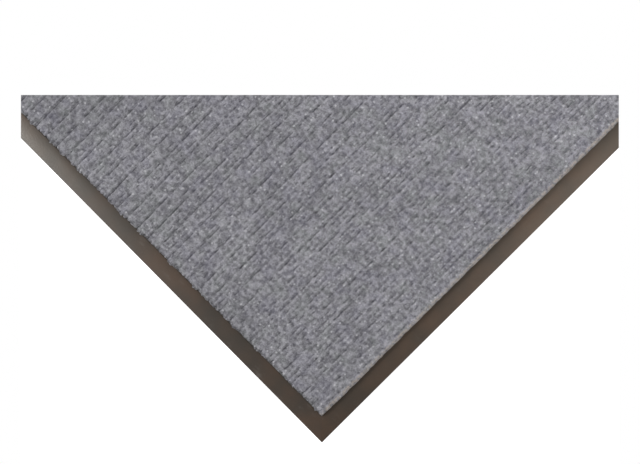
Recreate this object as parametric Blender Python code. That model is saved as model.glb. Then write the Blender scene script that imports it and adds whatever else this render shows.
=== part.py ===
"""Ribbed carpet entrance mat with a vinyl backing and bevelled vinyl edging on all four sides.

Metres, +Z up. The origin is the centre of the footprint, at floor level. The ribs run along Y, the long way.
From the floor up, the mat is a vinyl backing sheet, a latex bond coat, a woven scrim and a needle-punched,
ribbed carpet. Four mitred edging strips frame it: each has a flange under the carpet's edge, a low shoulder
beside it and a bevel down to a thin nose.
"""

import math

import bmesh
import bpy

# Plan
MAT_WIDTH = 0.610
MAT_LENGTH = 0.914
EDGING_FACE = 0.020
EDGING_FLANGE = 0.020

# Heights, from the floor up
BACKING_THICKNESS = 0.0022
BOND_THICKNESS = 0.0004
SCRIM_THICKNESS = 0.0005
CARPET_THICKNESS = 0.0055

# Edging section; the arcs run from one angle to the other, in degrees
SHOULDER_HEIGHT = 0.0043
SHOULDER_RADIUS = 0.0005
SHOULDER_ARC = (99, 0)
NOSE_HEIGHT = 0.0013
NOSE_RADIUS = 0.0006
NOSE_ARC = (180, 100)
BEVEL_CROWN = 0.0004
BEVEL_STEPS = 6
ARC_STEPS = 4
SMOOTH_BELOW = 30

# Ribs: each is three rows wide, with one deep groove and two shallow ones. A row's crown has points at shares
# of its width, each lying a little below the carpet's top
RIB_COUNT = 38
ROWS_PER_RIB = 3
GROOVE_DEPTHS = (0.0024, 0.0012, 0.0015)
CROWN_PLACES = (0.18, 0.50, 0.82)
CROWN_DROPS = (0.0003, 0.0, 0.0003)

# Clearance between pieces that touch
GAP = 0.0003

CARPET_WIDTH = MAT_WIDTH - 2 * EDGING_FACE
CARPET_LENGTH = MAT_LENGTH - 2 * EDGING_FACE
ROW_PITCH = CARPET_WIDTH / (RIB_COUNT * ROWS_PER_RIB)
BACKING_INSET = EDGING_FACE + EDGING_FLANGE + GAP
BOND_BASE = BACKING_THICKNESS + GAP
SCRIM_BASE = BOND_BASE + BOND_THICKNESS + GAP
CARPET_BASE = SCRIM_BASE + SCRIM_THICKNESS + GAP
CARPET_TOP = CARPET_BASE + CARPET_THICKNESS

# Surfaces: colour as linear RGB, and roughness
CARPET_GREY = ((0.190, 0.185, 0.200), 0.95)
SCRIM_BEIGE = ((0.420, 0.370, 0.300), 0.90)
LATEX_CREAM = ((0.560, 0.520, 0.430), 0.60)
BACKING_BROWN = ((0.045, 0.038, 0.033), 0.60)
EDGING_BROWN = ((0.070, 0.055, 0.045), 0.45)


def clear_scene():
    for obj in list(bpy.data.objects):
        bpy.data.objects.remove(obj, do_unlink=True)


def make_material(name, surface):
    colour, roughness = surface
    material = bpy.data.materials.new(name)
    material.use_nodes = True
    shader = material.node_tree.nodes["Principled BSDF"]
    shader.inputs["Base Color"].default_value = (*colour, 1.0)
    shader.inputs["Roughness"].default_value = roughness
    shader.inputs["Metallic"].default_value = 0.0
    return material


def add_object(name, mesh, material):
    mesh.materials.append(material)
    obj = bpy.data.objects.new(name, mesh)
    bpy.context.scene.collection.objects.link(obj)
    return obj


def make_prism(name, start_section, end_section):
    """A closed mesh between two sections that have the same number of points, listed the same way round."""
    bm = bmesh.new()
    start = [bm.verts.new(point) for point in start_section]
    end = [bm.verts.new(point) for point in end_section]
    count = len(start)
    for i in range(count):
        following = (i + 1) % count
        bm.faces.new((start[i], start[following], end[following], end[i]))
    bm.faces.new(start)
    bm.faces.new(end)
    bmesh.ops.recalc_face_normals(bm, faces=bm.faces)
    mesh = bpy.data.meshes.new(name)
    bm.to_mesh(mesh)
    bm.free()
    return mesh


def add_layer(name, width, length, base, thickness, material):
    """A flat sheet, centred on the origin."""
    signs = [(-1, -1), (1, -1), (1, 1), (-1, 1)]
    lower = [(x * width / 2, y * length / 2, base) for x, y in signs]
    upper = [(x, y, base + thickness) for x, y, z in lower]
    return add_object(name, make_prism(name, lower, upper), material)


def arc(centre, radius, degrees):
    """Points along an arc, both ends included."""
    start_degrees, end_degrees = degrees
    points = []
    for i in range(ARC_STEPS + 1):
        angle = math.radians(start_degrees + (end_degrees - start_degrees) * i / ARC_STEPS)
        points.append((centre[0] + radius * math.cos(angle), centre[1] + radius * math.sin(angle)))
    return points


def edging_section():
    """The strip's section as (distance in from the mat's edge, height), from the outer edge's foot round."""
    shoulder = EDGING_FACE - GAP
    flange_end = EDGING_FACE + EDGING_FLANGE
    nose = arc((NOSE_RADIUS, NOSE_HEIGHT - NOSE_RADIUS), NOSE_RADIUS, NOSE_ARC)
    top = arc((shoulder - SHOULDER_RADIUS, SHOULDER_HEIGHT - SHOULDER_RADIUS), SHOULDER_RADIUS, SHOULDER_ARC)
    bevel = []
    for i in range(1, BEVEL_STEPS):
        share = i / BEVEL_STEPS
        across = nose[-1][0] + (top[0][0] - nose[-1][0]) * share
        height = nose[-1][1] + (top[0][1] - nose[-1][1]) * share
        bevel.append((across, height + BEVEL_CROWN * 4 * share * (1 - share)))
    flange = [
        (shoulder, BACKING_THICKNESS),
        (flange_end, BACKING_THICKNESS),
        (flange_end, 0.0),
    ]
    return [(0.0, 0.0)] + nose + bevel + top + flange


def add_edging(name, side_length, location, turn_degrees, material):
    """One strip along local X, its outer edge on the local X axis, its ends cut to a 45 degree mitre."""
    mitre_clearance = GAP / math.sqrt(2)
    start, end = [], []
    for inward, height in edging_section():
        reach = side_length / 2 - inward - mitre_clearance
        start.append((-reach, inward, height))
        end.append((reach, inward, height))
    strip = add_object(name, make_prism(name, start, end), material)
    strip.data.shade_smooth()
    strip.data.set_sharp_from_angle(angle=math.radians(SMOOTH_BELOW))
    strip.location = location
    strip.rotation_euler = (0.0, 0.0, math.radians(turn_degrees))
    return strip


def rib_section():
    """The carpet's top line as (x, z), from the left edge to the right edge."""
    left = -CARPET_WIDTH / 2
    edge_height = CARPET_TOP - GROOVE_DEPTHS[0] / 2
    points = [(left, edge_height)]
    for row in range(RIB_COUNT * ROWS_PER_RIB):
        if row:
            depth = GROOVE_DEPTHS[row % ROWS_PER_RIB]
            points.append((left + row * ROW_PITCH, CARPET_TOP - depth))
        for place, drop in zip(CROWN_PLACES, CROWN_DROPS):
            points.append((left + (row + place) * ROW_PITCH, CARPET_TOP - drop))
    points.append((-left, edge_height))
    return points


def add_carpet(material):
    """The ribbed face, one section drawn along the mat."""
    section = rib_section() + [(CARPET_WIDTH / 2, CARPET_BASE), (-CARPET_WIDTH / 2, CARPET_BASE)]
    front = [(x, -CARPET_LENGTH / 2, z) for x, z in section]
    rear = [(x, CARPET_LENGTH / 2, z) for x, z in section]
    return add_object("carpet_face", make_prism("carpet_face", front, rear), material)


def build():
    clear_scene()
    carpet = make_material("carpet", CARPET_GREY)
    scrim = make_material("scrim", SCRIM_BEIGE)
    latex = make_material("latex", LATEX_CREAM)
    backing = make_material("backing", BACKING_BROWN)
    edging = make_material("edging", EDGING_BROWN)

    backing_width = MAT_WIDTH - 2 * BACKING_INSET
    backing_length = MAT_LENGTH - 2 * BACKING_INSET
    add_layer("backing_sheet", backing_width, backing_length, 0.0, BACKING_THICKNESS, backing)
    add_layer("bond_coat", CARPET_WIDTH, CARPET_LENGTH, BOND_BASE, BOND_THICKNESS, latex)
    add_layer("carpet_scrim", CARPET_WIDTH, CARPET_LENGTH, SCRIM_BASE, SCRIM_THICKNESS, scrim)
    add_carpet(carpet)

    add_edging("front_edging", MAT_WIDTH, (0.0, -MAT_LENGTH / 2, 0.0), 0, edging)
    add_edging("right_edging", MAT_LENGTH, (MAT_WIDTH / 2, 0.0, 0.0), 90, edging)
    add_edging("rear_edging", MAT_WIDTH, (0.0, MAT_LENGTH / 2, 0.0), 180, edging)
    add_edging("left_edging", MAT_LENGTH, (-MAT_WIDTH / 2, 0.0, 0.0), 270, edging)


build()
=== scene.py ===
"""The looks of the ribbed entrance mat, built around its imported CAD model.

Metres, +Z up, in the CAD frame: the ribs run along Y, and the origin is the centre of the footprint, on the
floor. The carpet, the four edging strips and the backing replace their plain CAD solids with detailed meshes.
The scrim and the bond coat, hidden between them, keep their CAD shapes and get their own materials.
"""

import math

import bmesh
import bpy
import numpy as np
from mathutils import Matrix, Vector


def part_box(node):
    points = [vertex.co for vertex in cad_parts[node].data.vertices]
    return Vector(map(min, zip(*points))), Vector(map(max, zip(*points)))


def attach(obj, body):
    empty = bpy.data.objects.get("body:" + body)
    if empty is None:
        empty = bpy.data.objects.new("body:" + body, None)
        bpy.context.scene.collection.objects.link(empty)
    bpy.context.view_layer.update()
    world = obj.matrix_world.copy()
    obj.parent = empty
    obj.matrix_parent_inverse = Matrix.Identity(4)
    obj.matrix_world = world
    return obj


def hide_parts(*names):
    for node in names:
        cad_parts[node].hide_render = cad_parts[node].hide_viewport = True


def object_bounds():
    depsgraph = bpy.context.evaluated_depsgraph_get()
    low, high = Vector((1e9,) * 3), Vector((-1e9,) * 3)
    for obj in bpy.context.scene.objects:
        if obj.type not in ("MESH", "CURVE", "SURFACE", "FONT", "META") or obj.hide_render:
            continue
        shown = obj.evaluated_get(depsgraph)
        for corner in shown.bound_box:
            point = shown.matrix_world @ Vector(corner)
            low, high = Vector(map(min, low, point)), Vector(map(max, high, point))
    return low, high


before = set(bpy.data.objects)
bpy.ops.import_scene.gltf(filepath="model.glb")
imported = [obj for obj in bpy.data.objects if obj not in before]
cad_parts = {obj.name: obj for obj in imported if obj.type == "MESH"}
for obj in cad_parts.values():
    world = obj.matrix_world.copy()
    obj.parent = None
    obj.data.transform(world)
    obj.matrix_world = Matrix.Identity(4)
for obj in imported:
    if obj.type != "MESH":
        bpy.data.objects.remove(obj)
CAD_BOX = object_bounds()

MM = 0.001
MAT_LOW, MAT_HIGH = CAD_BOX
CARPET_LOW, CARPET_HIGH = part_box("carpet_face")
BACKING_LOW, BACKING_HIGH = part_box("backing_sheet")
EDGING_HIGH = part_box("front_edging")[1]

# Ribs: three rows of tufts to a rib. Columns of mesh points run along the grooves and, at these shares of a
# row's width, along the crowns between them. Lines of points run across the ribs, closer together at the ends
RIBS = 38
ROWS_PER_RIB = 3
ROWS = RIBS * ROWS_PER_RIB
ROW_PITCH = (CARPET_HIGH.x - CARPET_LOW.x) / ROWS
CROWN_PLACES = (0.27, 0.73)
RIM_COLUMN = 0.06
LINES_ALONG_RIB = 270
END_LINES = np.array([0.0, 0.6, 1.6, 3.4]) * MM
INNER_LINES_START = 6.5 * MM

# Grooves of a rib, the deep one first. Openness runs from 0 to 1. Each groove's gains its lean on the mat's
# left, and loses some of it on the right
GROOVE_DEPTHS = np.array([2.4, 1.2, 1.5]) * MM
# Strength of the painted shade in each kind of groove
GROOVE_SHADE_STRENGTH = np.array([1.0, 0.76, 0.84])
GROOVE_OPENNESS = np.array([0.64, 0.45, 0.49])
GROOVE_LEAN = np.array([0.20, -0.07, -0.07])
LEAN_MIDDLE_ROW = 85.1
LEAN_ROWS = 23
LEAN_LIMITS = (-0.8, 1.0)
LEAST_OPEN = 0.06
STITCH_LENGTH = 11 * MM
STITCH_AMOUNT = 0.30

# Carpet's crowns below the CAD solid's top, and the rounding of its rim, as (drop, reach)
CROWN_DROP = 0.45 * MM
SIDE_ROUNDING = (1.5 * MM, 0.55 * MM)
END_ROUNDING = (1.7 * MM, 0.8 * MM)

# Rib ends have notches, as (depth, width in rows): one at each deep groove and a smaller one at every groove.
# The ends' recess and the sides' overhang fade out over their reach
DEEP_NOTCH = (1.5 * MM, 0.42)
ROW_NOTCH = (1.0 * MM, 0.24)
NOTCH_FREE_SIDE = 2.5 * MM
MOST_RECESS = 3.2 * MM
END_OVERHANG = 0.10 * MM
END_REACH = 3.6 * MM
SIDE_OVERHANG = 0.80 * MM
SIDE_REACH = 2.0 * MM

# Smooth random waves over the carpet, each as (amount, size across in rows, size along the ribs, seed)
BRIDGES = [(0.85, 0.9, 4.0 * MM, 11)]
STITCH_WANDER = [(9.0, 0.9, 30 * MM, 24)]
TUFT_LUMPS = [(0.34 * MM, 0.45, 3.2 * MM, 12), (0.18 * MM, 3.0, 40 * MM, 13)]
RIB_WANDER = [(0.30 * MM, 0.8, 7 * MM, 14), (0.25 * MM, 2.5, 45 * MM, 17), (0.28 * MM, 0.8, 3.3 * MM, 19)]
NOTCH_VARIETY = [(0.8, 2.3, 400 * MM, 20)]
RAGGED_ENDS = [(1.30 * MM, 0.35, 4 * MM, 15), (0.80 * MM, 1.3, 4 * MM, 18), (0.50 * MM, 14, 400 * MM, 22)]
FRAYED_SIDES = [(0.45 * MM, 5, 4 * MM, 16), (0.35 * MM, 200, 38 * MM, 23)]

# Ragged ring halfway down the carpet's wall: lowest and highest, how far it is drawn in at most, and its seed
WALL_RING_HEIGHTS = (1.4 * MM, 2.2 * MM)
WALL_RAGGEDNESS = 0.2 * MM
WALL_SEED = 21

# Carpet colours, as linear RGB
LUMP_DARK = (0.088, 0.086, 0.096)
LUMP_PALE = (0.345, 0.341, 0.367)
STRAND_PALE = (0.50, 0.50, 0.53)
STRAND_DARK = (0.040, 0.040, 0.045)
FLECK_PALE = (0.60, 0.60, 0.62)
FLECK_DARK = (0.050, 0.050, 0.060)
# Painted shade, in the grooves and low on the carpet's walls
GROOVE_SHADE = (0.026, 0.026, 0.031)
WALL_SHADE = (0.020, 0.018, 0.018)
CLOUD_GREY = (0.06, 0.06, 0.07)
BLUE_CAST = (0.19, 0.18, 0.30)
GREEN_CAST = (0.20, 0.24, 0.20)
CUT_FIBRE = (0.37, 0.325, 0.285)
# Painted shade inside the rib ends
RIB_END_SHADE = (0.035, 0.034, 0.034)

# Edging section; the arcs run from one angle to the other, in degrees
NOSE_HEIGHT = 1.3 * MM
NOSE_RADIUS = 0.6 * MM
NOSE_ARC = (180, 100)
SHOULDER_RADIUS = 0.3 * MM
SHOULDER_ARC = (99, 0)
SHOULDER_GAP = 0.04 * MM
BEVEL_CROWN = 0.50 * MM
BEVEL_STEPS = 15
ARC_STEPS = 5
SMOOTH_BELOW = 40

# Edging strips along their length: stations close to a mitre, and the weld line and waves of the upper side
MITRE_STATIONS = np.array([0.0, 0.25, 0.6, 1.4]) * MM
INNER_STATIONS_START = 5 * MM
STATIONS_PER_HALF = 60
UPPER_SIDE = 0.9 * MM
WELD_DEPTH = 0.07 * MM
WELD_REACH = 0.5 * MM
WAVE_HEIGHT = 0.07 * MM
WAVE_LENGTH = 35 * MM
WAVE_WIDTH = 8 * MM

# Vinyl: colour, roughness, size of the grain and tint of the gloss
# The warm gloss tints stand in for warm light on the highlights: a painted reflection colour
END_VINYL = ((0.038, 0.026, 0.0175), 0.36, 0.9 * MM, (1.0, 0.96, 0.89))
# Side strips' vinyl: a paler copy of the ends', its gloss tint warmer, for how light falls there: painted
# light
SIDE_VINYL = ((0.043, 0.031, 0.022), 0.38, 0.9 * MM, (1.0, 0.87, 0.74))
BACKING_VINYL = ((0.03, 0.026, 0.022), 0.55, 1.5 * MM, (1.0, 0.96, 0.89))

# Underside's embossing: shallow squares between flat ridges
EMBOSS_PITCH = 15 * MM
EMBOSS_RIDGE = 3 * MM
EMBOSS_SLOPE = 0.6 * MM
EMBOSS_DEPTH = 0.5 * MM

# Hidden layers: width of the scrim's tape, and their colours
SCRIM_TAPE = 2.2 * MM
SCRIM_UNDER = (0.33, 0.29, 0.23)
SCRIM_OVER = (0.47, 0.42, 0.34)
SCRIM_STREAKS = (0.24, 0.21, 0.17)
LATEX_DARK = (0.46, 0.42, 0.33)
LATEX_PALE = (0.62, 0.58, 0.48)

# Camera: beside the front right corner, looking almost straight down, with that corner at the picture's foot
CAMERA_LENS = 60.0
SENSOR_WIDTH = 36.0
PICTURE_SHAPE = 464 / 640
CAMERA_FROM_CORNER = Vector((-0.1005, 0.2093, 1.0914))
AIM_FROM_CORNER = Vector((-0.1537, 0.1517, 0.0))
PICTURE_UP = Vector((-0.7054, 0.7088, 0.0))

# White card before the lens, and the picture's white margins as shares of its width and its height
CARD_DISTANCE = 2 * MM
CARD_OVERLAP = 1.1
MARGIN_LEFT = 0.0327
MARGIN_RIGHT = 0.0331
MARGIN_TOP = 0.2047

# Light of the white room on the mat, and of the backdrop as the camera sees it
ROOM_LIGHT = 0.325
BACKDROP_LIGHT = 1.0
FLOOR_REACH = 30.0
FLOOR_GLOW = 0.80
FLOOR_GAP = 0.05 * MM

# Area lights: name, place, aim, size and power
FRONT_AIM = Vector((0.1, -0.25, 0.0))
RIGHT_AIM = Vector((0.15, 0.10, 0.0))
AREA_LIGHTS = [
    ("key", FRONT_AIM + 4.5 * Vector((-0.58, -0.56, 0.59)), FRONT_AIM, 1.5, 194),
    ("fill", FRONT_AIM + 1.6 * Vector((0.62, 0.25, 0.74)), FRONT_AIM, 0.6, 4.0),
    ("top", RIGHT_AIM + Vector((0.0, 0.0, 0.5)), RIGHT_AIM, 0.25, 0.97),
]


# ---------------------------------------------------------------------------------------------- helpers


def smooth_random(x, y, cell_x, cell_y, seed):
    """Smooth random values from -1 to 1 at points x, y, in cells of the given size."""
    rng = np.random.default_rng(seed)
    u = (x - x.min()) / cell_x
    v = (y - y.min()) / cell_y
    lattice = rng.uniform(-1, 1, (int(u.max()) + 3, int(v.max()) + 3))
    i, j = u.astype(int), v.astype(int)
    fu, fv = u - i, v - j
    fu, fv = fu * fu * (3 - 2 * fu), fv * fv * (3 - 2 * fv)
    low = lattice[i, j] * (1 - fu) + lattice[i + 1, j] * fu
    high = lattice[i, j + 1] * (1 - fu) + lattice[i + 1, j + 1] * fu
    return low * (1 - fv) + high * fv


def waves(x, y, layers):
    """Several layers of smooth random values, added up."""
    return sum(amount * smooth_random(x, y, cell_x, cell_y, seed) for amount, cell_x, cell_y, seed in layers)


def to_whole(values):
    """How far each value is from the nearest whole number."""
    return np.abs((values + 0.5) % 1 - 0.5)


def near(distance, reach):
    """A share that is 1 at no distance and fades over its reach."""
    return np.exp(-distance / reach)


def hump(distance, width):
    """A bell-shaped share that is 1 at no distance."""
    return np.exp(-((distance / width) ** 2))


def new_object(name, mesh, slot, *nodes):
    """A finished piece on the mat's one body, in place of the CAD nodes named."""
    obj = bpy.data.objects.new(name, mesh)
    bpy.context.scene.collection.objects.link(obj)
    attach(obj, "root")
    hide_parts(*nodes)
    return obj


def mesh_from(name, points, faces, **attributes):
    """A smooth-shaded mesh with float attributes, one value a point."""
    mesh = bpy.data.meshes.new(name)
    mesh.from_pydata(points.tolist(), [], faces)
    for key, values in attributes.items():
        layer = mesh.attributes.new(key, "FLOAT", "POINT")
        layer.data.foreach_set("value", np.asarray(values, np.float32).ravel())
    mesh.shade_smooth()
    mesh.validate()
    return mesh


# ---------------------------------------------------------------------------------------------- carpet


def carpet_columns():
    """Places across the ribs, in rows from the left edge, and the number of the groove at each, or -1."""
    places, grooves = [0.0, RIM_COLUMN], [-1, -1]
    for row in range(ROWS):
        if row:
            places.append(float(row))
            grooves.append(row)
        for place in CROWN_PLACES:
            places.append(row + place)
            grooves.append(-1)
    places += [ROWS - RIM_COLUMN, float(ROWS)]
    grooves += [-1, -1]
    return np.array(places), np.array(grooves)


def carpet_lines():
    """Places along the ribs, from the front edge to the rear edge."""
    start, end = CARPET_LOW.y + INNER_LINES_START, CARPET_HIGH.y - INNER_LINES_START
    inner = np.linspace(start, end, LINES_ALONG_RIB)
    return np.concatenate([CARPET_LOW.y + END_LINES, inner, CARPET_HIGH.y - END_LINES[::-1]])


def groove_share(groove, u, y):
    """How open each groove point is, from 0 to 1: the pile bridges a groove every few millimetres."""
    which = groove % ROWS_PER_RIB
    leftward = np.clip((LEAN_MIDDLE_ROW - u) / LEAN_ROWS, *LEAN_LIMITS)
    usual = GROOVE_OPENNESS[which] + GROOVE_LEAN[which] * leftward
    stitches = STITCH_AMOUNT * np.sin(y * math.tau / STITCH_LENGTH + waves(u, y, STITCH_WANDER))
    share = np.clip(usual + waves(u, y, BRIDGES) + stitches, LEAST_OPEN, 1.0)
    return np.where(groove >= 0, share, 0.0)


def end_recess(u, y, edge_x):
    """How far the rib ends are drawn in: each bulges out between its deep grooves, and all are ragged."""
    deep_depth, deep_width = DEEP_NOTCH
    row_depth, row_width = ROW_NOTCH
    to_deep = to_whole(u / ROWS_PER_RIB) * ROWS_PER_RIB
    recess = deep_depth * hump(to_deep, deep_width) + row_depth * hump(to_whole(u), row_width)
    recess *= (1.0 + waves(u, y, NOTCH_VARIETY)) * (1 - hump(edge_x, NOTCH_FREE_SIDE))
    return np.minimum(recess + waves(u, y, RAGGED_ENDS) - END_OVERHANG, MOST_RECESS)


def carpet_top():
    """The carpet's upper surface: a grid of points, their places in plan before any wobble, and attributes.

    The attributes are how much painted groove shade each point gets, and its distances from the side and the
    end.
    """
    places, grooves = carpet_columns()
    along = carpet_lines()
    u, y = np.meshgrid(places, along, indexing="ij")
    groove = np.repeat(grooves[:, None], len(along), axis=1)
    x = CARPET_LOW.x + u * ROW_PITCH
    plan = np.stack([x, y], axis=-1)
    edge_x = np.minimum(u, ROWS - u) * ROW_PITCH
    edge_y = np.minimum(y - CARPET_LOW.y, CARPET_HIGH.y - y)

    share = groove_share(groove, u, y)
    z = CARPET_HIGH.z - CROWN_DROP + waves(u, y, TUFT_LUMPS) - share * GROOVE_DEPTHS[groove % ROWS_PER_RIB]
    for edge, (drop, reach) in ((edge_x, SIDE_ROUNDING), (edge_y, END_ROUNDING)):
        z -= drop * near(edge, reach)

    # Ribs wander a little. Their ends are then drawn in, and the sides hang out over the edging
    x = x + waves(u, y, RIB_WANDER)
    y = y - np.sign(y) * end_recess(u, y, edge_x) * near(edge_y, END_REACH)
    x = x - np.sign(x) * (waves(u, y, FRAYED_SIDES) - SIDE_OVERHANG) * near(edge_x, SIDE_REACH)
    # Painted shade in the grooves: more of it where a groove is open
    groove_shade_share = share * GROOVE_SHADE_STRENGTH[groove % ROWS_PER_RIB]
    return np.stack([x, y, z], axis=-1), plan, {"groove_shade_share": groove_shade_share, "from_side": edge_x, "from_end": edge_y}


def wall_rings(rim, foot, outward):
    """Two rings of points below the top's rim: a ragged one halfway down the wall, and the underside's."""
    rng = np.random.default_rng(WALL_SEED)
    middle = rim.copy()
    middle[:, :2] = (rim[:, :2] + foot) / 2 - outward * rng.uniform(0.0, WALL_RAGGEDNESS, (len(rim), 1))
    middle[:, 2] = CARPET_LOW.z + rng.uniform(*WALL_RING_HEIGHTS, len(rim))
    bottom = np.column_stack([foot, np.full(len(rim), CARPET_LOW.z)])
    return middle, bottom


def wall_faces(ring, first_middle, first_bottom):
    """Faces from the top's rim down to the middle ring, and from there to the underside's."""
    faces = []
    count = len(ring)
    for k in range(count):
        after = (k + 1) % count
        faces.append([int(ring[after]), int(ring[k]), first_middle + k, first_middle + after])
        faces.append([first_middle + after, first_middle + k, first_bottom + k, first_bottom + after])
    return faces


def underside_faces(first, count, columns, lines):
    """The underside in strips across, and one wide face along each end, which holds all the rib ends."""
    right = [first + columns - 1 + k for k in range(lines)]
    left = [first + (count - k) % count for k in range(lines)]
    front = [first + k for k in range(columns)]
    rear = [first + columns + lines - 2 + k for k in range(columns)]
    faces = [[left[1], right[1], *reversed(front)], [right[-2], left[-2], *reversed(rear)]]
    for k in range(1, lines - 2):
        faces.append([left[k + 1], right[k + 1], right[k], left[k]])
    return faces


def add_carpet():
    """The needle-punched face: the ribbed top, frayed walls down its four sides and a flat underside."""
    grid, plan, kept = carpet_top()
    columns, lines = plan.shape[:2]
    top = grid.reshape(-1, 3)
    number = np.arange(columns * lines).reshape(columns, lines)
    quads = np.stack([number[:-1, :-1], number[1:, :-1], number[1:, 1:], number[:-1, 1:]], axis=-1)
    ring = np.concatenate([number[:, 0], number[-1, 1:], number[-2::-1, -1], number[0, -2:0:-1]])

    foot = plan.reshape(-1, 2)[ring]
    at_rim = np.stack([kept["from_side"], kept["from_end"]], axis=-1).reshape(-1, 2)[ring] == 0
    outward = np.where(at_rim, np.sign(foot), 0.0)
    middle, bottom = wall_rings(top[ring], foot, outward)
    first_middle, first_bottom = len(top), len(top) + len(ring)
    faces = quads.reshape(-1, 4).tolist()
    faces += wall_faces(ring, first_middle, first_bottom)
    faces += underside_faces(first_bottom, len(ring), columns, lines)

    kept = {name: np.concatenate([v.ravel(), v.ravel()[ring], v.ravel()[ring]]) for name, v in kept.items()}
    mesh = mesh_from("carpet_pile", np.concatenate([top, middle, bottom]), faces, **kept)
    carpet = new_object("carpet_pile", mesh, "carpet", "carpet_face")
    mesh.materials.append(carpet_material())


# ------------------------------------------------------------------------------------- material helpers


class Nodes:
    """A short way to write a material's node tree."""

    def __init__(self, name):
        self.material = bpy.data.materials.new(name)
        self.material.use_nodes = True
        self.tree = self.material.node_tree
        self.shader = self.tree.nodes["Principled BSDF"]
        self.place = self.add("ShaderNodeTexCoord").outputs["Object"]

    def add(self, kind, **settings):
        node = self.tree.nodes.new(kind)
        for key, value in settings.items():
            setattr(node, key, value)
        return node

    def join(self, value, socket):
        """Link a socket to another, or set it to a plain value."""
        if isinstance(value, bpy.types.NodeSocket):
            self.tree.links.new(value, socket)
        else:
            socket.default_value = value

    def set(self, **values):
        """Join values to the shader's inputs, whose names are given with _ for a space."""
        for name, value in values.items():
            self.join(value, self.shader.inputs[name.replace("_", " ")])

    def math(self, operation, a, b=0.0, c=0.0):
        node = self.add("ShaderNodeMath", operation=operation)
        for value, socket in zip((a, b, c), node.inputs):
            self.join(value, socket)
        return node.outputs[0]

    def remap(self, value, low, high, new_low=0.0, new_high=1.0):
        """A smooth step from new_low at low to new_high at high."""
        node = self.add("ShaderNodeMapRange", interpolation_type="SMOOTHSTEP")
        for v, socket in zip((value, low, high, new_low, new_high), node.inputs):
            self.join(v, socket)
        return node.outputs[0]

    def scaled(self, x, y, z):
        """The place on the piece, with each axis scaled."""
        node = self.add("ShaderNodeVectorMath", operation="MULTIPLY")
        self.join(self.place, node.inputs[0])
        node.inputs[1].default_value = (x, y, z)
        return node.outputs[0]

    def axes(self):
        """The place on the piece as its three coordinates."""
        node = self.add("ShaderNodeSeparateXYZ")
        self.join(self.place, node.inputs[0])
        return node.outputs

    def first_channel(self, colour):
        node = self.add("ShaderNodeSeparateColor")
        self.join(colour, node.inputs[0])
        return node.outputs[0]

    def noise_at(self, vector, detail, roughness=0.5, distortion=0.0):
        node = self.add("ShaderNodeTexNoise")
        self.join(vector, node.inputs["Vector"])
        node.inputs["Scale"].default_value = 1.0
        node.inputs["Detail"].default_value = detail
        node.inputs["Roughness"].default_value = roughness
        node.inputs["Distortion"].default_value = distortion
        return node.outputs["Fac"]

    def noise(self, cell, stretch=(1, 1, 1), detail=2.0, roughness=0.5):
        """Noise from 0 to 1 in cells of the given size, stretched along each axis."""
        return self.noise_at(self.scaled(*[1 / (cell * s) for s in stretch]), detail, roughness)

    def cells(self, cell, stretch=(1, 1, 1), feature="F1"):
        node = self.add("ShaderNodeTexVoronoi", feature=feature)
        self.join(self.scaled(*[1 / (cell * s) for s in stretch]), node.inputs["Vector"])
        node.inputs["Scale"].default_value = 1.0
        return node

    def fleck(self, cell, stretch, rarity, inner, outer, fade=0.08):
        """Round flecks: 1 inside, in the share of cells above rarity."""
        voronoi = self.cells(cell, stretch)
        spot = self.remap(voronoi.outputs["Distance"], outer, inner)
        chosen = self.remap(self.first_channel(voronoi.outputs["Color"]), rarity, rarity + fade)
        return self.math("MULTIPLY", spot, chosen)

    def fibres(self, bundle, width, length):
        """Fine strands, each small bundle of them lying its own way."""
        heading = self.first_channel(self.cells(bundle).outputs["Color"])
        turned = self.add("ShaderNodeVectorRotate", rotation_type="Z_AXIS")
        self.join(self.scaled(1 / width, 1 / width, 1 / width), turned.inputs["Vector"])
        self.join(self.math("MULTIPLY", heading, math.pi), turned.inputs["Angle"])
        drawn = self.add("ShaderNodeVectorMath", operation="MULTIPLY")
        self.join(turned.outputs[0], drawn.inputs[0])
        drawn.inputs[1].default_value = (1.0, width / length, 1.0)
        return self.noise_at(drawn.outputs[0], detail=2.0, distortion=0.6)

    def mix(self, factor, a, b):
        node = self.add("ShaderNodeMix", data_type="RGBA")
        self.join(factor, node.inputs["Factor"])
        for value, key in ((a, "A"), (b, "B")):
            socket = [s for s in node.inputs if s.name == key and s.type == "RGBA"][0]
            self.join((*value, 1.0) if isinstance(value, tuple) else value, socket)
        return [s for s in node.outputs if s.type == "RGBA"][0]

    def paint(self, base, colour, where, strength):
        """The base with a colour laid over it, up to a strength, where a mask is above 0."""
        return self.mix(self.math("MULTIPLY", where, strength), base, colour)

    def bump(self, height, distance, normal=None):
        node = self.add("ShaderNodeBump")
        node.inputs["Distance"].default_value = distance
        self.join(height, node.inputs["Height"])
        if normal is not None:
            self.join(normal, node.inputs["Normal"])
        return node.outputs["Normal"]

    def attribute(self, name):
        return self.add("ShaderNodeAttribute", attribute_name=name).outputs["Fac"]


# ------------------------------------------------------------------------------------------- materials


def strand_colours(n, lumps, fibres):
    """Heathered grey: lumps of pale and dark fibre, and single strands and odd flecks on them."""
    colour = n.mix(n.remap(lumps, 0.21, 0.79), LUMP_DARK, LUMP_PALE)
    strand = n.remap(fibres, 0.75, 1.25, -1.0, 1.0)
    colour = n.paint(colour, STRAND_PALE, strand, 0.26)
    colour = n.paint(colour, STRAND_DARK, strand, -0.38)
    pale = n.fleck(3.7 * MM, (1.1, 1.1, 1), rarity=0.72, inner=0.14, outer=0.38)
    dark = n.fleck(3.9 * MM, (1, 1.2, 1), rarity=0.76, inner=0.12, outer=0.40)
    pale = n.math("MULTIPLY", pale, n.remap(fibres, 0.80, 1.10, 0.25, 1.0))
    colour = n.paint(colour, FLECK_PALE, pale, 0.66)
    return n.paint(colour, FLECK_DARK, dark, 0.45)


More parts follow.
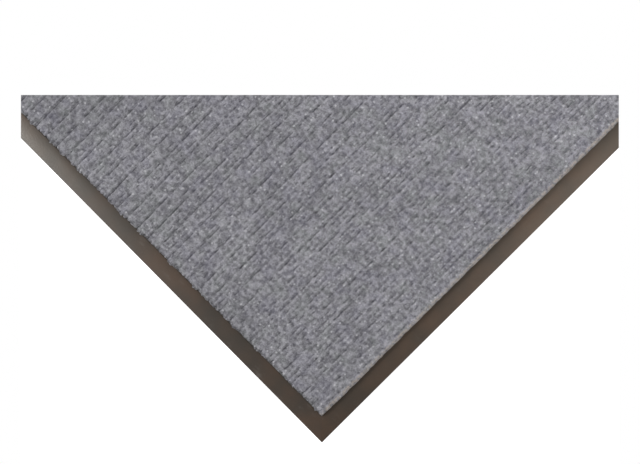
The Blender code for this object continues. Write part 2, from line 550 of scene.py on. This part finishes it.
def groove_and_wall_shade(n, colour, wall):
    """Painted shade: dark dashes where the grooves are deep, and dark walls low down."""
    broken = n.math("MULTIPLY_ADD", n.noise(2.8 * MM, (1, 1.2, 1), detail=1), 1.2, -0.60)
    shade = n.remap(n.math("MULTIPLY_ADD", n.attribute("groove_shade_share"), 0.66, broken), 0.14, 0.60)
    colour = n.paint(colour, GROOVE_SHADE, shade, 0.58)
    return n.paint(colour, WALL_SHADE, wall, 0.85)


def slow_changes(n, colour):
    """Slow changes of depth of colour, and of hue between blue grey and green grey."""
    cloud = n.noise(34 * MM, (1, 1.5, 1), detail=2)
    hue = n.noise(14 * MM, detail=1)
    colour = n.paint(colour, CLOUD_GREY, n.remap(cloud, 0.3, 0.7), 0.15)
    colour = n.paint(colour, BLUE_CAST, n.remap(hue, 0.45, 0.75), 0.085)
    return n.paint(colour, GREEN_CAST, n.remap(hue, 0.50, 0.25), 0.12)


def carpet_edges(n, colour, fibres, wall):
    """Sides cut along a row, which show paler, warmer fibre, and rib ends that part, with painted shade
    inside them.
    """
    beads = n.remap(n.noise(3.0 * MM, detail=1), 0.34, 0.62, 0.15, 0.90)
    cut = n.math("MULTIPLY", n.remap(n.attribute("from_side"), 4.0 * MM, 2.0 * MM), beads)
    cut = n.math("MULTIPLY", cut, n.remap(fibres, 0.80, 1.12, 0.40, 1.0))
    colour = n.paint(colour, CUT_FIBRE, cut, n.math("SUBTRACT", 1.0, wall))
    # Painted shade inside the rib ends, patchy where the tufts part
    shade_between_tufts = n.remap(n.noise(2.2 * MM, detail=2), 0.40, 0.60, 0.10, 0.80)
    return n.paint(colour, RIB_END_SHADE, n.remap(n.attribute("from_end"), 4.0 * MM, 0.5 * MM), shade_between_tufts)


def carpet_material():
    """Needle-punched fibre in heathered grey, with painted shade making it darker down in the grooves."""
    n = Nodes("carpet_heather")
    lumps = n.noise(3.8 * MM, (1.18, 1.08, 1), detail=2, roughness=0.62)
    fibres = n.math("ADD", n.fibres(1.7 * MM, 0.22 * MM, 2.4 * MM), n.fibres(2.3 * MM, 0.30 * MM, 3.0 * MM))
    # Mask for the painted shade low on the carpet's walls
    wall = n.remap(n.axes()[2], CARPET_LOW.z + 2.8 * MM, CARPET_LOW.z + 1.0 * MM)
    colour = strand_colours(n, lumps, fibres)
    colour = groove_and_wall_shade(n, colour, wall)
    colour = slow_changes(n, colour)
    colour = carpet_edges(n, colour, fibres, wall)
    relief = n.bump(fibres, 0.12 * MM, n.bump(lumps, 0.7 * MM))
    n.set(Base_Color=colour, Roughness=0.95, Specular_IOR_Level=0.15, Normal=relief)
    n.set(Sheen_Weight=0.12, Sheen_Roughness=0.5)
    return n.material


def vinyl_material(name, colour, roughness, grain, tint):
    """Pliable vinyl: fine pebble grain, colour that clouds between brown and grey, and dull, pale scuffs."""
    n = Nodes(name)
    cloud = n.remap(n.noise(60 * MM, detail=3, roughness=0.6), 0.25, 0.75)
    fine = n.noise(1.6 * MM, detail=2)
    worn = n.remap(n.noise(9 * MM, (2.2, 1, 1), detail=4, roughness=0.7), 0.56, 0.78)

    # Grey is the colour drawn towards its own middle and darkened, and brown is the colour made warmer
    grey = tuple(0.75 * (0.6 * c + 0.4 * colour[1]) for c in colour)
    brown = (1.45 * colour[0], 1.20 * colour[1], 1.10 * colour[2])
    base = n.mix(cloud, grey, brown)
    base = n.paint(base, tuple(2.0 * c for c in colour), fine, 0.15)
    base = n.paint(base, tuple(0.08 + c for c in colour), worn, 0.20)
    pebble = n.cells(grain, feature="SMOOTH_F1").outputs["Distance"]
    relief = n.bump(n.math("ADD", pebble, n.math("MULTIPLY", fine, 0.4)), 0.06 * MM)
    n.set(Base_Color=base, Roughness=n.remap(worn, 0.0, 1.0, roughness, roughness + 0.15), Normal=relief)
    n.set(Specular_IOR_Level=0.65, Specular_Tint=(*tint, 1.0))
    return n.material


def scrim_material():
    """Woven polypropylene tape, over and under, in two directions."""
    n = Nodes("scrim_weave")
    x, y = n.axes()[:2]
    across = n.math("SINE", n.math("MULTIPLY", x, math.pi / SCRIM_TAPE))
    along = n.math("SINE", n.math("MULTIPLY", y, math.pi / SCRIM_TAPE))
    weave = n.remap(n.math("MULTIPLY", across, along), -0.5, 0.5)
    colour = n.mix(weave, SCRIM_UNDER, SCRIM_OVER)
    colour = n.paint(colour, SCRIM_STREAKS, n.noise(0.8 * MM, (1, 4, 1)), 0.35)
    n.set(Base_Color=colour, Roughness=0.75, Normal=n.bump(weave, 0.3 * MM))
    return n.material


def latex_material():
    """Brushed latex coat, cream, with a skin of small pits."""
    n = Nodes("latex_coat")
    streaks = n.noise(3 * MM, (1, 8, 1), detail=3)
    colour = n.mix(streaks, LATEX_DARK, LATEX_PALE)
    pits = n.bump(n.noise(1.2 * MM, detail=3), 0.15 * MM)
    n.set(Base_Color=colour, Roughness=n.remap(streaks, 0.3, 0.7, 0.45, 0.65), Normal=pits)
    return n.material


# --------------------------------------------------------------------------------------- edging strips


def arc(centre_x, centre_y, radius, degrees):
    """Points along an arc, both ends included."""
    angles = np.radians(np.linspace(*degrees, ARC_STEPS + 1))
    return [(centre_x + radius * math.cos(a), centre_y + radius * math.sin(a)) for a in angles]


def edging_section():
    """The strip's section as (distance in from the mat's edge, height), round from the outer edge's foot."""
    shoulder = CARPET_LOW.y - MAT_LOW.y - SHOULDER_GAP
    flange_end = EDGING_HIGH.y - MAT_LOW.y
    nose = arc(NOSE_RADIUS, NOSE_HEIGHT - NOSE_RADIUS, NOSE_RADIUS, NOSE_ARC)
    top = arc(shoulder - SHOULDER_RADIUS, EDGING_HIGH.z - SHOULDER_RADIUS, SHOULDER_RADIUS, SHOULDER_ARC)
    start, end = nose[-1], top[0]
    bevel = []
    for step in range(1, BEVEL_STEPS):
        share = step / BEVEL_STEPS
        height = start[1] + (end[1] - start[1]) * share + BEVEL_CROWN * 4 * share * (1 - share)
        bevel.append((start[0] + (end[0] - start[0]) * share, height))
    flange = [(shoulder, BACKING_HIGH.z), (flange_end, BACKING_HIGH.z), (flange_end, 0.0)]
    return [(0.0, 0.0), *nose, *bevel, *top, *flange]


def edging_points(section, side_length, seed):
    """The section at stations along the strip, its outer edge on the local X axis and its ends mitred."""
    half = side_length / 2
    inner = np.linspace(INNER_STATIONS_START, half, STATIONS_PER_HALF)[:-1]
    stations = np.concatenate([MITRE_STATIONS, inner])
    stations = np.concatenate([stations, 2 * half - stations[::-1]])
    s, inward = np.meshgrid(stations, section[:, 0], indexing="ij")
    height = np.repeat(section[None, :, 1], len(stations), axis=0)
    x = (s / half - 1) * (half - inward)
    to_mitre = np.minimum(s, 2 * half - s)
    wavy = WAVE_HEIGHT * smooth_random(s, inward, WAVE_LENGTH, WAVE_WIDTH, seed)
    z = height + np.where(height > UPPER_SIDE, wavy - WELD_DEPTH * near(to_mitre, WELD_REACH), 0.0)
    return np.stack([x, inward, z], axis=-1).reshape(-1, 3)


def add_edging(name, node, side_length, place, turn_degrees, seed, material):
    """One mitred strip, slightly wavy as soft vinyl is, with a fine weld line at each mitre."""
    section = np.array(edging_section())
    points = edging_points(section, side_length, seed)
    count = len(section)
    faces = []
    for first in range(0, len(points) - count, count):
        for j in range(count):
            a, b = first + j, first + (j + 1) % count
            faces.append([a + count, b + count, b, a])
    faces.append(list(range(count)))
    faces.append(list(reversed(range(len(points) - count, len(points)))))
    mesh = mesh_from(name, points, faces)
    mesh.transform(Matrix.Translation(place) @ Matrix.Rotation(math.radians(turn_degrees), 4, "Z"))
    mesh.set_sharp_from_angle(angle=math.radians(SMOOTH_BELOW))
    mesh.materials.append(material)
    return new_object(name, mesh, "edging", node)


def add_edgings():
    width, length = MAT_HIGH.x - MAT_LOW.x, MAT_HIGH.y - MAT_LOW.y
    brown = vinyl_material("edging_vinyl_ends", *END_VINYL)
    # The side strips get the paler copy of the vinyl, with painted light in its colour and gloss tint
    grey = vinyl_material("edging_vinyl_sides", *SIDE_VINYL)
    add_edging("edging_front", "front_edging", width, Vector((0, MAT_LOW.y, 0)), 0, 31, brown)
    add_edging("edging_right", "right_edging", length, Vector((MAT_HIGH.x, 0, 0)), 90, 32, grey)
    add_edging("edging_rear", "rear_edging", width, Vector((0, MAT_HIGH.y, 0)), 180, 33, brown)
    add_edging("edging_left", "left_edging", length, Vector((MAT_LOW.x, 0, 0)), 270, 34, grey)


# --------------------------------------------------------------------------------------- backing layers


def backing_mesh(width, length):
    """A closed sheet on the floor, its underside a grid of shallow squares sunk between ridges."""
    columns, rows = round(width / EMBOSS_PITCH), round(length / EMBOSS_PITCH)
    bm = bmesh.new()
    bmesh.ops.create_grid(bm, x_segments=columns, y_segments=rows, size=0.5)
    bmesh.ops.scale(bm, verts=bm.verts, vec=(width, length, 1.0))
    squares = list(bm.faces)
    rim = [edge for edge in bm.edges if edge.is_boundary]
    raised = bmesh.ops.extrude_edge_only(bm, edges=rim)["geom"]
    raised_points = [part for part in raised if isinstance(part, bmesh.types.BMVert)]
    bmesh.ops.translate(bm, verts=raised_points, vec=(0, 0, BACKING_HIGH.z))
    bmesh.ops.edgeloop_fill(bm, edges=[part for part in raised if isinstance(part, bmesh.types.BMEdge)])
    bmesh.ops.inset_individual(bm, faces=squares, thickness=EMBOSS_RIDGE / 2)
    bmesh.ops.inset_individual(bm, faces=squares, thickness=EMBOSS_SLOPE, depth=EMBOSS_DEPTH)
    bmesh.ops.recalc_face_normals(bm, faces=bm.faces)
    mesh = bpy.data.meshes.new("backing_vinyl_sheet")
    bm.to_mesh(mesh)
    bm.free()
    return mesh


def add_backing():
    """The vinyl sheet under the carpet, its underside embossed so that it lies flat and grips."""
    width, length = BACKING_HIGH.x - BACKING_LOW.x, BACKING_HIGH.y - BACKING_LOW.y
    mesh = backing_mesh(width, length)
    mesh.materials.append(vinyl_material("backing_vinyl", *BACKING_VINYL))
    backing = new_object("backing_vinyl_sheet", mesh, "backing", "backing_sheet")


def set_material(obj, material):
    """Give a CAD object another material, and leave its mesh alone."""
    for slot in obj.material_slots:
        slot.link = "OBJECT"
        slot.material = material


def finish_hidden_layers():
    """The scrim and the bond coat keep their CAD shapes."""
    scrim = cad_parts["carpet_scrim"]
    set_material(scrim, scrim_material())
    set_material(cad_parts["bond_coat"], latex_material())


# ----------------------------------------------------------------------------------------------- stage


def glowing_material(name, colour, glow):
    """Plain matte paint that also gives off white light."""
    n = Nodes(name)
    n.set(Base_Color=(*colour, 1.0), Roughness=0.9, Specular_IOR_Level=0.0)
    n.set(Emission_Color=(1.0, 1.0, 1.0, 1.0), Emission_Strength=glow)
    return n.material


def stage_object(name, points, material):
    """One flat face that isn't part of the mat."""
    mesh = bpy.data.meshes.new(name)
    mesh.from_pydata(points, [], [tuple(range(len(points)))])
    mesh.materials.append(material)
    obj = bpy.data.objects.new(name, mesh)
    bpy.context.scene.collection.objects.link(obj)
    return obj


def add_floor():
    """A wide white floor, bright enough to print white, with a faint contact shadow."""
    signs = [(-1, -1), (1, -1), (1, 1), (-1, 1)]
    points = [(x * FLOOR_REACH, y * FLOOR_REACH, 0) for x, y in signs]
    floor = stage_object("floor", points, glowing_material("floor_white", (0.6, 0.6, 0.6), FLOOR_GLOW))
    floor.location.z = -FLOOR_GAP


def add_margin_card(camera):
    """A tiny white card just before the lens: the picture's white margins at the top, the left and the right.

    It is under 2 mm wide, so that it can't be seen from anywhere else, and only the camera sees it.
    """
    half_width = CARD_DISTANCE * SENSOR_WIDTH / CAMERA_LENS / 2
    half_height = half_width * PICTURE_SHAPE
    outer_x, outer_y = CARD_OVERLAP * half_width, CARD_OVERLAP * half_height
    left = (2 * MARGIN_LEFT - 1) * half_width
    right = (1 - 2 * MARGIN_RIGHT) * half_width
    top = (1 - 2 * MARGIN_TOP) * half_height
    window = [(left, -outer_y), (left, top), (right, top), (right, -outer_y)]
    outline = [(outer_x, -outer_y), (outer_x, outer_y), (-outer_x, outer_y), (-outer_x, -outer_y)]
    points = [(x, y, -CARD_DISTANCE) for x, y in window + outline]
    card = stage_object("margin_card", points, glowing_material("card_white", (0.0, 0.0, 0.0), 1.0))
    card.matrix_world = camera.matrix_world
    card.visible_diffuse = False
    card.visible_glossy = False
    card.visible_transmission = False
    card.visible_shadow = False


def add_room_light():
    """Even white light, with a brighter backdrop behind it that only the camera sees."""
    world = bpy.data.worlds.new("studio")
    world.use_nodes = True
    tree = world.node_tree
    background = tree.nodes["Background"]
    background.inputs["Color"].default_value = (1.0, 1.0, 1.0, 1.0)
    rays = tree.nodes.new("ShaderNodeLightPath")
    strength = tree.nodes.new("ShaderNodeMapRange")
    strength.inputs["To Min"].default_value = ROOM_LIGHT
    strength.inputs["To Max"].default_value = BACKDROP_LIGHT
    tree.links.new(rays.outputs["Is Camera Ray"], strength.inputs["Value"])
    tree.links.new(strength.outputs["Result"], background.inputs["Strength"])
    bpy.context.scene.world = world


def add_area_light(name, place, aim, size, power):
    light = bpy.data.lights.new(name, "AREA")
    light.size = size
    light.energy = power
    obj = bpy.data.objects.new(name, light)
    obj.location = place
    obj.rotation_euler = (aim - place).to_track_quat("-Z", "Y").to_euler()
    obj.visible_camera = False
    bpy.context.scene.collection.objects.link(obj)


def add_camera():
    data = bpy.data.cameras.new("camera")
    data.lens = CAMERA_LENS
    data.sensor_width = SENSOR_WIDTH
    data.clip_start = CARD_DISTANCE / 4
    data.clip_end = 100.0
    camera = bpy.data.objects.new("camera", data)
    corner = Vector((MAT_HIGH.x, MAT_LOW.y, 0.0))
    back = (CAMERA_FROM_CORNER - AIM_FROM_CORNER).normalized()
    right = PICTURE_UP.cross(back).normalized()
    turn = Matrix((right, back.cross(right), back)).transposed()
    camera.matrix_world = Matrix.Translation(corner + CAMERA_FROM_CORNER) @ turn.to_4x4()
    bpy.context.scene.collection.objects.link(camera)
    bpy.context.scene.camera = camera
    return camera


def main():
    bpy.context.scene.view_settings.view_transform = "Standard"
    add_carpet()
    add_edgings()
    add_backing()
    finish_hidden_layers()
    add_floor()
    add_room_light()
    for light in AREA_LIGHTS:
        add_area_light(*light)
    add_margin_card(add_camera())


main()
